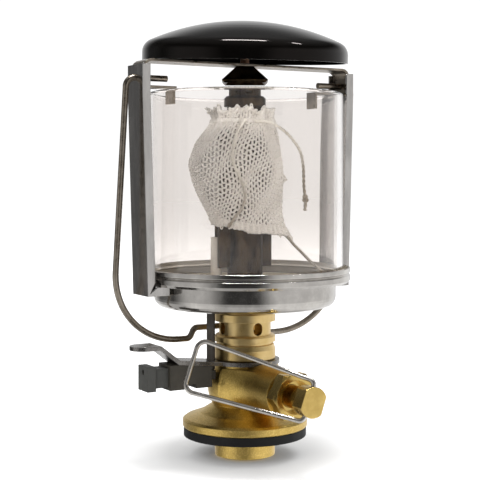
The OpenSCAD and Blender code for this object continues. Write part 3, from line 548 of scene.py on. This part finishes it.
@dataclass
class Studio:
    """Camera, soft light, pale floor and the surrounding white."""

    eye: Triple = (-0.175, -0.30311, 0.0834)
    turn: float = math.radians(-30.0)
    lens: float = 87.5
    sensor: float = 36.0
    shift: Pair = (-0.0102, -0.1365)
    right: Triple = (0.866, -0.5, 0.0)
    front: Triple = (-0.5, -0.866, 0.0)
    middle: Triple = (0.0, 0.0, 0.07)
    floor_half: float = 3.0
    floor_z: float = -0.6 * MM
    near_tone: Colour = (0.45, 0.45, 0.45)
    far_tone: Colour = (0.62, 0.62, 0.62)
    lamps: tuple[Lamp, ...] = (
        Lamp("top", (0.0, -0.1, 1.0), (0.9, 0.9), 6.5),
        Lamp("key", (-0.75, -0.55, 0.55), (0.5, 0.5), 7.0, turned=True),
        Lamp("fill", (0.8, -0.5, 0.35), (0.6, 0.6), 5.0, turned=True),
        Lamp("ceiling", (-0.02, -0.05, 0.86), (0.34, 0.09), 6.0, mirrored=True),
        Lamp("far_ceiling", (0.45032, -0.32, 0.86), (0.18, 0.08), 2.2, mirrored=True),
    )

    def camera(self) -> None:
        """A level camera at the photograph's place, with its horizon above the middle."""
        data = bpy.data.cameras.new("camera")
        data.lens = self.lens
        data.sensor_width = self.sensor
        data.shift_x, data.shift_y = self.shift
        data.clip_start = 0.01
        eye = bpy.data.objects.new("camera", data)
        eye.location = self.eye
        eye.rotation_euler = (math.radians(90), 0.0, self.turn)
        bpy.context.scene.collection.objects.link(eye)
        bpy.context.scene.camera = eye

    def floor(self) -> None:
        """A wide floor under the thread's boss, as a grid of two parameters, paler where it is far."""
        side = np.linspace(-self.floor_half, self.floor_half, 3)
        x, y = np.meshgrid(side, side, indexing="ij")
        floor = grid_mesh("floor", np.stack([x, y, np.full_like(x, self.floor_z)], -1))
        sheet = NodeSheet("pale_floor")
        place = sheet.place()
        away = sheet.vector("LENGTH", place, (0.0, 0.0, 0.0), "Value").step(0.25, 0.8)
        pale = away + sheet.noise(place, 6.0) * 0.1
        floor.data.materials.append(sheet.finish(
            Base_Color=sheet.blend(pale.clamped(), self.near_tone, self.far_tone),
            Roughness=0.9,
            Specular_IOR_Level=0.0))
        floor.visible_glossy = False

    def surround(self) -> None:
        """White to the eye and through glass, brighter as light; reflections see a room.

        With d the direction of the reflection, r its part to the photograph's
        right, f its part towards the camera and z its rise, the room is bright
        at the right, above and straight behind the part, paler at the front left,
        white below, dim at the far left, and dark behind the camera.
        """
        room = WorldSheet("surround")
        way = room.place()
        r = room.vector("DOT_PRODUCT", way, self.right, "Value")
        f = room.vector("DOT_PRODUCT", way, self.front, "Value")
        z = room.axis(way, "Z")
        low = 1.0 - z.step(0.2, 0.55)
        right = r.step(0.2, 0.75) * low * 0.72
        left = (r * -1.0).step(0.35, 0.8) * f.step(-0.25, 0.3) * low * 0.58
        far_left = (r * -1.0).step(0.55, 1.0) * (1.0 - f.step(-0.5, -0.1)) * low * 0.14
        above = z.step(0.5, 0.9) * 0.3
        behind = (f * -1.0).step(0.62, 0.95) * (1.0 - z.step(0.4, 0.8)) * 0.65
        below = (z * -1.0).step(0.12, 0.5) * 0.5
        dim = 0.045
        seen = (right + left + far_left + above + behind + below + dim).clamped()
        mirrored = room.ray("Is Glossy Ray") * (1.0 - room.ray("Is Transmission Ray"))
        white = room.ray("Diffuse Depth").step(0.0, 1.0) * 0.6 + 1.0
        room.close(room.blend(mirrored, white, seen), 1.08)
        bpy.context.scene.view_settings.view_transform = "Standard"

    def build(self) -> None:
        """Sets up the camera, the floor, the lamps and the surround."""
        self.camera()
        self.floor()
        for lamp in self.lamps:
            lamp.hang(self.middle, self.turn)
        self.surround()
        LOG.info("lit the studio with %d lamps", len(self.lamps))


def faced_mesh(name: str, points: Array, faces: Array) -> bpy.types.Object:
    """Makes a smooth-shaded mesh and links it.

    Args:
        name: Name of the object.
        points: Points, in metres.
        faces: Numbers of the points of each face.

    Returns:
        The object, at the origin.
    """
    mesh = bpy.data.meshes.new(name)
    mesh.from_pydata(points.reshape(-1, 3).tolist(), [], faces.tolist())
    mesh.polygons.foreach_set("use_smooth", np.ones(len(mesh.polygons), bool))
    mesh.update()
    piece = bpy.data.objects.new(name, mesh)
    bpy.context.scene.collection.objects.link(piece)
    return piece


def grid_mesh(name: str, points: Array, wrap: bool = False) -> bpy.types.Object:
    """Makes a mesh from a grid of points.

    The face (i, j) joins the points (i, j), (i+1, j), (i+1, j+1) and (i, j+1).

    Args:
        name: Name of the object.
        points: Array of rows, columns and 3 coordinates, in metres.
        wrap: Whether the last column joins the first.

    Returns:
        The object, at the origin.
    """
    rows, columns = points.shape[:2]
    index = np.arange(rows * columns).reshape(rows, columns)
    if wrap:
        index = np.concatenate([index, index[:, :1]], 1)
    quads = np.stack([index[:-1, :-1], index[1:, :-1], index[1:, 1:], index[:-1, 1:]], -1)
    return faced_mesh(name, points, quads.reshape(-1, 4))


def smooth_copy(name: str, node: bpy.types.Object, crease: float) -> bpy.types.Object:
    """A copy of a CAD node whose shallow bands are shaded as one curve.

    Points at the same place are joined, triangles left without width are
    dropped, and only edges past the crease angle stay sharp.

    Args:
        name: Name of the copy.
        node: The CAD node's object.
        crease: Smallest angle of a sharp edge, in degrees.

    Returns:
        The copy, at the origin.
    """
    points = np.empty(len(node.data.vertices) * 3)
    node.data.vertices.foreach_get("co", points)
    corners = np.empty(len(node.data.loops), dtype=np.int32)
    node.data.loops.foreach_get("vertex_index", corners)
    joined, place = np.unique(points.reshape(-1, 3).round(8), axis=0, return_inverse=True)
    faces = place.reshape(-1)[corners].reshape(-1, 3)
    whole = (faces != np.roll(faces, 1, axis=1)).all(axis=1)
    piece = faced_mesh(name, joined, faces[whole])
    piece.data.set_sharp_from_angle(angle=math.radians(crease))
    piece.data.update()
    return piece


def smooth_step(low: float, high: float, value: Array) -> Array:
    """0 below low, 1 above high, and 3s^2 - 2s^3 between."""
    share = np.clip((value - low) / (high - low), 0.0, 1.0)
    return share * share * (3.0 - 2.0 * share)


def polar(r: Array | float, a: Array, z: Array | float) -> Array:
    """Points from radii, angles round the upright axis and heights."""
    return np.stack([r * np.cos(a), r * np.sin(a), z + np.zeros_like(a)], -1)


def tube_rings(path: Array, radius: Array, sides: int, twist: float, ply: float) -> Array:
    """Carries a round section along a path.

    Each ring lies across the path's direction; the ring's frame is the
    direction crossed with an upright reference, and the section is a circle
    whose radius swells by ply times cos(2(angle - twist s)), so it twists.

    Args:
        path: Points of the path.
        radius: Radius at each point.
        sides: Points of a ring.
        twist: Turn of the section per point, in radians.
        ply: How far the two plies swell the section.

    Returns:
        Array of points, ring by ring.
    """
    along = np.gradient(path, axis=0)
    along /= np.linalg.norm(along, axis=1, keepdims=True)
    reference = np.where(np.abs(along[:, 2:3]) > 0.9, [[1.0, 0.0, 0.0]], [[0.0, 0.0, 1.0]])
    side = np.cross(along, reference)
    side /= np.linalg.norm(side, axis=1, keepdims=True)
    up = np.cross(side, along)
    angle = np.linspace(0.0, 2 * np.pi, sides, endpoint=False)[None, :, None]
    turn = twist * np.arange(len(path))[:, None, None]
    reach = radius[:, None, None] * (1.0 + ply * np.cos(2 * (angle - turn)))
    return path[:, None] + reach * (np.cos(angle) * side[:, None] + np.sin(angle) * up[:, None])


def eased_path(points: Array, count: int) -> Array:
    """A smooth path through a route's points.

    The points are joined by Catmull-Rom pieces and read at even distances.

    Args:
        points: The route.
        count: Number of points wanted.

    Returns:
        The path.
    """
    ends = np.concatenate([2 * points[:1] - points[1:2], points, 2 * points[-1:] - points[-2:-1]])
    t = np.linspace(0.0, len(points) - 1.000001, 24 * len(points))
    i = t.astype(int)
    s = (t - i)[:, None]
    a, b, c, d = ends[i], ends[i + 1], ends[i + 2], ends[i + 3]
    fine = 0.5 * (2 * b + (c - a) * s + (2 * a - 5 * b + 4 * c - d) * s**2
                  + (3 * b - a - 3 * c + d) * s**3)
    gone = np.concatenate([[0.0], np.cumsum(np.linalg.norm(np.diff(fine, axis=0), axis=1))])
    even = np.linspace(0.0, gone[-1], count)
    return np.stack([np.interp(even, gone, fine[:, k]) for k in range(3)], -1)


@dataclass(frozen=True)
class YarnFinish:
    """Cotton yarn: matt, with fine fibres, darker towards the bottom where asked, and greyer in one
    patch where asked.
    """

    name: str
    clean: Colour
    soiled: Colour
    cells: float = 420.0
    darkening_from: float = 0.0
    darkening_to: float = 0.0
    grey_patch: Triple | None = None
    grey_patch_r: float = 5.0 * MM
    grey_patch_tone: Colour = (0.3, 0.28, 0.25)
    fibre_cells: float = 9000.0
    fibre_height: float = 0.00006

    def make(self) -> bpy.types.Material:
        """Builds the material.

        Returns:
            Two tones mixed by broad noise, with the fibres as a fine bump and one grey patch where
            there is any.
        """
        sheet = NodeSheet(self.name)
        place = sheet.place()
        broad = sheet.noise(place, self.cells, 4.0, 0.6)
        fibre = sheet.noise(place, self.fibre_cells, 2.0, 0.6)
        soil = broad.step(0.4, 0.75) * 0.5
        # Darker towards the bottom: clean above the first height, darkest below the second.
        if self.darkening_to:
            soil = soil + (1.0 - sheet.axis(place, "Z").step(self.darkening_to, self.darkening_from)) * 0.7
        colour = sheet.blend(soil.clamped(), self.clean, self.soiled)
        # Greyer within a patch round one point, strongest at its middle.
        if self.grey_patch:
            away = sheet.vector("DISTANCE", place, self.grey_patch, "Value")
            grey_patch_share = (1.0 - away.step(0.3 * self.grey_patch_r, self.grey_patch_r)) * (broad * 0.5 + 0.5)
            colour = sheet.blend(grey_patch_share, colour, self.grey_patch_tone)
        return sheet.finish(
            Base_Color=colour,
            Roughness=(fibre * 0.2 + 0.75).clamped(),
            Normal=sheet.bump(fibre, 0.5, self.fibre_height),
        )


@dataclass(frozen=True)
class GauzeFinish:
    """The mantle's thin cloth between its yarns, open where the stitches leave a hole."""

    name: str
    colour: Colour
    cover: float
    thin: Colour = (0.6, 0.56, 0.5)
    wander_cells: float = 160.0
    fibre_cells: float = 7000.0
    fibre_height: float = 0.00005

    def make(self, wales: float, courses: float) -> bpy.types.Material:
        """Builds the material.

        Args:
            wales: Stitches round the cloth.
            courses: Rows of stitches along it.

        Returns:
            A matt shader whose alpha falls in the middle of each stitch, as
            the product of two sines of the UV map, broken up by noise, and
            stays whole where the neck and the hem draw the cloth together.
        """
        sheet = NodeSheet(self.name)
        uv = sheet.uv()
        across = (sheet.axis(uv, "X") * (2 * math.pi * wales)).sine()
        along = (sheet.axis(uv, "Y") * (2 * math.pi * courses)).sine()
        wander = sheet.noise(sheet.place(), self.wander_cells, 3.0)
        level = sheet.axis(uv, "Y")
        drawn = level.step(0.78, 0.9) + 1.0 - level.step(0.02, 0.1)
        open_stitch = (across * along * 0.5 + 0.5) * 0.7 + wander * 0.6 - drawn * 0.6
        fibre = sheet.noise(sheet.place(), self.fibre_cells, 2.0)
        return sheet.finish(
            Base_Color=sheet.blend(wander, self.colour, self.thin),
            Roughness=(fibre * 0.2 + 0.78).clamped(),
            Alpha=((1.0 - open_stitch.step(0.42, 0.72)) * self.cover).clamped(),
            Normal=sheet.bump(fibre, 0.4, self.fibre_height),
        )


@dataclass
class Mantle:
    """The knitted mantle: cloth, courses of yarn, hem, frill and strings."""

    wales: int = 42
    courses: int = 23
    yarn_r: float = 0.29 * MM
    edge_yarn_r: float = 0.38 * MM
    end_yarn_r: float = 0.2 * MM
    stitch_sway: float = 0.95
    stitch_reach: float = 0.86
    stitch_depth: float = 0.16 * MM
    loose_loops: int = 150
    frill_loops: int = 118
    yarn_clean: Colour = (0.89, 0.855, 0.805)
    yarn_soiled: Colour = (0.76, 0.715, 0.65)
    tuft_xy: Pair = (-8.2 * MM, 2.7 * MM)
    tuft_drop: float = 0.5 * MM
    cloth_sink: float = 0.22 * MM
    lean_side: float = math.radians(150)
    pucker_side: float = math.radians(322)
    pucker_u: float = 0.45
    lobe_side: float = math.radians(325)
    frill_drop: float = 3.0 * MM
    string_d: float = 1.0 * MM
    cord_from: float = 30.0 * MM
    string_clean: Colour = (0.93, 0.89, 0.81)
    string_soiled: Colour = (0.25, 0.2, 0.135)
    heights: tuple[float, ...] = (0.0, 0.08, 0.2, 0.38, 0.56, 0.74, 0.85, 0.92, 0.96, 1.0)
    lean_r: tuple[float, ...] = (9.3, 10.9, 12.8, 15.3, 16.7, 14.6, 10.9, 9.0, 9.9, 10.2)
    far_r: tuple[float, ...] = (14.2, 12.0, 10.8, 11.0, 10.9, 9.6, 8.6, 8.0, 8.1, 8.0)
    hem_rise: float = 3.4 * MM
    low: float = field(init=False)
    high: float = field(init=False)

    def __post_init__(self) -> None:
        """Takes the hem and the frill's edge from the CAD mantle."""
        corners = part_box("mantle")
        self.low, self.high = float(corners[0][2]), float(corners[1][2]) - self.frill_drop

    def radius(self, u: Array, a: Array) -> Array:
        """Radius of the cloth.

        The radius on the leaning side and on the far side are read along the
        height and mixed by the cosine of the angle; soft folds, the pleats of
        the gathered neck and one pucker are added.

        Args:
            u: Share of the height, from the hem.
            a: Angle round the burner.

        Returns:
            The radius, in metres.
        """
        fine = np.linspace(0.0, 1.0, 201)
        span = 13
        ease = np.hanning(2 * span + 1)
        ease /= ease.sum()

        def read(values: tuple[float, ...]) -> Array:
            """A smoothed reading of radii along the height."""
            line = np.interp(fine, self.heights, values)
            line = np.convolve(np.pad(line, span, "edge"), ease, "valid")
            return np.interp(u, fine, line)

        share = 0.5 + 0.5 * np.cos(a - self.lean_side)
        body = read(self.lean_r) * share + read(self.far_r) * (1.0 - share)
        neck = smooth_step(0.78, 0.93, u)
        folds = 0.3 * np.cos(5 * a + 2.4 * u) * u + 0.22 * np.cos(8 * a - 5 * u + 1.0)
        pleats = 0.62 * np.cos(13 * a + 0.7 * np.sin(3 * a)) * smooth_step(0.66, 0.9, u)
        flare = 0.6 * smooth_step(0.94, 1.0, u) * np.cos(7 * a + 1.3 * np.sin(2 * a))
        off = np.angle(np.exp(1j * (a - self.pucker_side)))
        pucker = 1.5 * np.exp(-(off / 0.13) ** 2 - ((u - self.pucker_u) / 0.025) ** 2)
        return (body + folds * (1.0 - neck) + pleats + flare + pucker) * MM

    def point(self, u: Array, a: Array, lift: Array | float = 0.0) -> Array:
        """Point of the cloth at a share of its height and an angle.

        Args:
            u: Share of the height.
            a: Angle.
            lift: Distance out of the cloth, in metres.

        Returns:
            Points with 3 coordinates; the hem rises towards the leaning side.
        """
        r = self.radius(u, a) + lift
        rise = self.hem_rise * (0.5 + 0.5 * np.cos(a - self.lean_side)) * (1.0 - u) ** 3
        ragged = smooth_step(0.93, 1.0, u) * (0.5 * np.cos(6 * a) + 0.35 * np.cos(11 * a + 2))
        off = np.angle(np.exp(1j * (a - self.lobe_side)))
        lobe = 1.7 * np.exp(-(off / 0.42) ** 2)
        hem = 0.22 * np.cos(5 * a) + 0.16 * np.cos(12 * a + 1) - lobe
        ragged = ragged + hem * (1.0 - u) ** 5
        z = self.low + rise + u * (self.high - self.low) + ragged * MM
        return polar(r, a, z)

    def cloth(self, on_it: list[bpy.types.Object]) -> None:
        """The thin cloth as a grid of height and angle.

        Args:
            on_it: The yarn pieces that lie on it; not used.
        """
        u, a = np.meshgrid(np.linspace(0.0, 1.0, 90), np.linspace(0, 2 * np.pi, 181),
                           indexing="ij")
        points = self.point(u, a, -self.cloth_sink)
        piece = grid_mesh("mantle_cloth", points)
        uv = piece.data.uv_layers.new(name="stitches")
        loops = np.empty(len(piece.data.loops), dtype=np.int32)
        piece.data.loops.foreach_get("vertex_index", loops)
        flat = np.stack([a / (2 * np.pi), u], -1).reshape(-1, 2)[loops]
        uv.data.foreach_set("uv", flat.astype(np.float32).ravel())
        gauze = GauzeFinish("mantle_gauze", (0.74, 0.7, 0.65), 0.82)
        piece.data.materials.append(gauze.make(self.wales, self.courses))
        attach(piece, "frame")
        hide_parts("mantle")

    def knit(self) -> bpy.types.Object:
        """Courses of stitches, each one closed yarn.

        With t running 2 pi a stitch, the yarn lies at the angle
        (t + sway sin 2t)/wales and at its course's height plus reach cos t, and
        its lift out of the cloth is depth cos 2t, so each loop is drawn through
        the last one. Slack loosens the stitches; pull and skew drag them aside.
        """
        beads, top_course, skew = 14, 0.985, 0.45
        t = np.arange(self.wales * beads) * 2 * np.pi / beads
        course = (np.arange(self.courses) + 0.5) / self.courses * top_course
        wander = np.random.default_rng(7)
        slack = wander.normal(0.0, 0.05, (self.courses, len(t)))
        a = (t[None] + self.stitch_sway * np.sin(2 * t)[None] * (1.0 + slack)) / self.wales
        u = course[:, None] + (self.stitch_reach + slack) * np.cos(t)[None] / self.courses
        pull = 0.06 * np.sin(3 * a + 9 * u) + 0.03 * np.sin(7 * a - 15 * u)
        a = a + pull + skew * u
        u = np.clip(u + 0.012 * np.sin(4 * a + 6 * u), 0.0, 1.0)
        lift = self.stitch_depth * np.cos(2 * t)[None] + np.zeros_like(u)
        path = self.point(u, a, lift)
        return self.yarn_piece("mantle_knit", path, polar(1.0, a, 0.0), self.yarn_r, 6)

    def yarn_piece(self, name: str, path: Array, out: Array, radius: float,
                   sides: int) -> bpy.types.Object:
        """A mesh of closed yarns.

        Each ring lies across its yarn's direction, in a frame of that direction
        and the way out of the cloth, and joins the next ring of its yarn.

        Args:
            name: Name of the piece.
            path: Array of yarns, points and 3 coordinates.
            out: The way out of the cloth, for each point or each yarn.
            radius: Radius of the yarn.
            sides: Points of a ring.

        Returns:
            The piece, riding on the frame.
        """
        along = np.roll(path, -1, 1) - np.roll(path, 1, 1)
        along /= np.linalg.norm(along, axis=-1, keepdims=True)
        side = np.cross(along, out)
        side /= np.linalg.norm(side, axis=-1, keepdims=True)
        up = np.cross(side, along)
        angle = (np.arange(sides) * 2 * np.pi / sides)[None, None, :, None]
        rings = path[:, :, None] + radius * (
            np.cos(angle) * side[:, :, None] + np.sin(angle) * up[:, :, None])
        index = np.arange(rings[..., 0].size).reshape(rings.shape[:3])
        after, beside = np.roll(index, -1, 1), np.roll(index, -1, 2)
        quads = np.stack([index, beside, np.roll(beside, -1, 1), after], -1)
        piece = faced_mesh(name, rings, quads.reshape(-1, 4))
        tuft = (*self.tuft_xy, self.high - self.tuft_drop)
        yarn = YarnFinish("mantle_yarn", self.yarn_clean, self.yarn_soiled, grey_patch=tuft)
        piece.data.materials.append(yarn.make())
        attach(piece, "frame")
        return piece

    def edges(self) -> bpy.types.Object:
        """Thick overcast yarn round the hem and the frill, and the tie round the neck.

        Each is a closed ring on the cloth that winds round it 46 times, with a
        reach of its own, so the edge looks rolled and ragged.
        """
        turns = 46
        a = np.linspace(0.0, 2 * np.pi, 10 * turns, endpoint=False)
        wind = turns * a
        windings = (
            (0.006, 0.34, 0.006), (0.022, 0.42, 0.008), (0.04, 0.4, 0.008), (0.058, 0.34, 0.008),
            (0.9, 0.34, 0.004), (0.912, 0.3, 0.004), (0.985, 0.4, 0.012))
        u, reach, drop = np.array(windings).T[:, :, None]
        path = self.point(u + drop * np.sin(wind), a + np.zeros_like(u), reach * MM * np.cos(wind))
        return self.yarn_piece("mantle_edges", path, polar(1.0, a, 0.0)[None], self.edge_yarn_r, 5)

    def ends(self) -> bpy.types.Object:
        """Loose loops of yarn that stick out of the frill and the hem.

        With t once round, a loop leaves its place on the cloth by
        (1 - cos t)/2 of its length and opens sideways by its width, in mm, sin t.
        """
        wander = np.random.default_rng(11)
        count, width = self.loose_loops, 0.3
        frill = np.arange(count) < self.frill_loops
        a = wander.uniform(0.0, 2 * np.pi, count)
        u = np.where(frill, wander.uniform(0.965, 1.0, count), wander.uniform(0.0, 0.02, count))
        root = self.point(u, a)
        out = polar(1.0, a, np.where(frill, 1.3, -0.7))
        out += wander.normal(0.0, 0.35, out.shape)
        out /= np.linalg.norm(out, axis=1, keepdims=True)
        side = np.stack([-np.sin(a), np.cos(a), wander.normal(0.0, 0.4, count)], -1)
        t = np.linspace(0.0, 2 * np.pi, 12, endpoint=False)[None, :, None]
        length = wander.uniform(0.6, 1.4, count)[:, None, None] * MM
        path = (root[:, None] + out[:, None] * length * (1 - np.cos(t)) / 2
                + side[:, None] * width * MM * np.sin(t))
        face = np.cross(out, side)[:, None]
        return self.yarn_piece("mantle_ends", path, face, self.end_yarn_r, 5)

    def string(self, name: str, node: str, route: Array, knot: float, darkening: Pair) -> None:
        """One string of two twisted plies, with a knot and a teased end.

        Args:
            name: Name of the piece.
            node: The CAD node that it stands for.
            route: Points of its route.
            knot: Place of the knot as a share of the length, over 1 for none.
            darkening: Shares of the mantle's height where the darkening towards the bottom starts and
                is strongest.
        """
        knot_swell, knot_span, core, closed = 1.2, 0.03, 0.42, 0.05
        path = eased_path(route, 220)
        share = np.linspace(0.0, 1.0, len(path))
        swell = knot_swell * np.exp(-((share - knot) / knot_span) ** 2)
        tease = 0.2 * smooth_step(0.9, 1.0, share) * np.sin(40 * share)
        radius = self.string_d * core * (1.0 + swell + tease)
        radius[[0, -1]] *= closed
        rings = tube_rings(path, radius, sides=12, twist=0.35, ply=0.2)
        piece = grid_mesh(name, rings, wrap=True)
        clean_z, darkest_z = (self.low + level * (self.high - self.low) for level in darkening)
        cotton = YarnFinish(
            name + "_cotton", self.string_clean, self.string_soiled, 120.0, clean_z, darkest_z)
        piece.data.materials.append(cotton.make())
        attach(piece, "frame")
        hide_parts(node)

    def on(self, *places: Triple) -> Array:
        """Points on the cloth from height shares, angles in degrees and lifts in millimetres."""
        u, a, lift = np.array(places).T
        return self.point(u, np.radians(a), lift * MM)

    def hung(self, *places: Triple) -> Array:
        """Points beside the cloth from radii in millimetres, degrees and height shares."""
        r, a, u = np.array(places).T
        return polar(r * MM, np.radians(a), self.low + u * (self.high - self.low))

    def strings(self) -> None:
        """The three strings, along the routes of their CAD solids."""
        side = np.concatenate([
            self.on((0.9, 258, 0.9), (0.9, 272, 0.9)),
            self.hung((11.8, 285, 0.88), (14.2, 302, 0.8), (16.8, 312, 0.68), (17.6, 318, 0.56),
                      (17.8, 320, 0.38), (18.2, 322, 0.27), (18.0, 321, 0.19))])
        front = self.on(
            (0.92, 242, 0.8), (0.84, 231, 1.1), (0.77, 228, 0.8), (0.6, 226, 0.75),
            (0.46, 234, 0.75), (0.34, 240, 0.75), (0.22, 238, 0.75), (0.1, 226, 0.75),
            (0.0, 216, 1.0))
        low = np.concatenate([
            self.on((0.0, 300, 0.5)),
            self.hung((15.6, 306, -0.07), (17.4, 311, -0.13), (20.4, 315, -0.22),
                      (23.3, 317, -0.29))])
        self.string("string_side_cord", "string_side", side, 0.9, (0.95, 0.3))
        self.string("string_front_cord", "string_front", front, 2.0, (0.42, 0.08))
        self.string("string_low_cord", "string_low", low, 2.0, (0.15, -0.12))

    def build(self) -> None:
        """Makes the strings, the cloth and the knit."""
        self.strings()
        self.cloth([self.knit(), self.edges(), self.ends()])
        LOG.info("made the mantle with %d wales and %d courses", self.wales, self.courses)


class FrameDress:
    """Finishes for the CAD nodes that keep their own shape."""

    finishes: dict[str, Enum] = {
        "valve_body": Metal.CAST_BRASS, "gland_nut": Metal.MACHINED_BRASS,
        "gas_jet": Metal.TURNED_BRASS, "valve_stem": Metal.MACHINED_BRASS,
        "clamp_nut": Metal.TURNED_BRASS, "mixer": Metal.TURNED_BRASS,
        "tube_nut": Metal.TURNED_BRASS, "valve_handle": Metal.BRIGHT_WIRE,
        "igniter_bracket": Metal.BRACKET, "upright_left": Metal.ZINC, "upright_right": Metal.ZINC,
        "tray": Metal.PLATED, "lid_strap": Metal.SPRING_STEEL, "bail": Metal.SPRING_STEEL,
        "burner_tube": Metal.HEAT_TINTED, "burner_cap": Metal.HEAT_TINTED,
        "heat_deflector": Metal.HEAT_TINTED, "electrode_wire": Metal.HEAT_TINTED,
        "lid_stud": Metal.RIVET, "lid": Moulded.ENAMEL, "base_gasket": Moulded.RUBBER,
        "igniter_housing": Moulded.PLASTIC, "igniter_button": Moulded.BUTTON,
        "igniter_lead": Moulded.SLEEVE, "electrode_ceramic": Moulded.CERAMIC,
    }

    def __init__(self, nodes: dict[str, bpy.types.Object]) -> None:
        """Keeps the CAD nodes by name."""
        self.nodes = nodes
        self.made: dict[str, bpy.types.Material] = {}

    def material(self, finish: Enum) -> bpy.types.Material:
        """The material of a finish, made once."""
        if finish.value.name not in self.made:
            self.made[finish.value.name] = finish.value.make()
        return self.made[finish.value.name]

    def wear(self, name: str, material: bpy.types.Material) -> None:
        """Puts a material into a node's slots, as the only one."""
        materials = self.nodes[name].data.materials
        materials.clear()
        materials.append(material)
        LOG.info("dressed %s in %s", name, material.name)

    def build(self) -> None:
        """Puts each node's finish into its material slots, and a smooth skin on the lid."""
        for name, finish in self.finishes.items():
            self.wear(name, self.material(finish))
        skin = smooth_copy("lid_skin", self.nodes["lid"], crease=30.0)
        skin.data.materials.append(self.material(Moulded.ENAMEL))
        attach(skin, "frame")
        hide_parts("lid")
        glass = GlassFinish("lantern_glass", (0.862, 0.834, 0.814), 0.04).make()
        self.wear("glass", glass)


def main() -> None:
    """Builds the studio and the lantern."""
    logging.basicConfig(level=logging.INFO)
    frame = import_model()
    Studio().build()
    Mantle().build()
    FrameDress(frame["nodes"]).build()


if __name__ == "__main__":
    main()
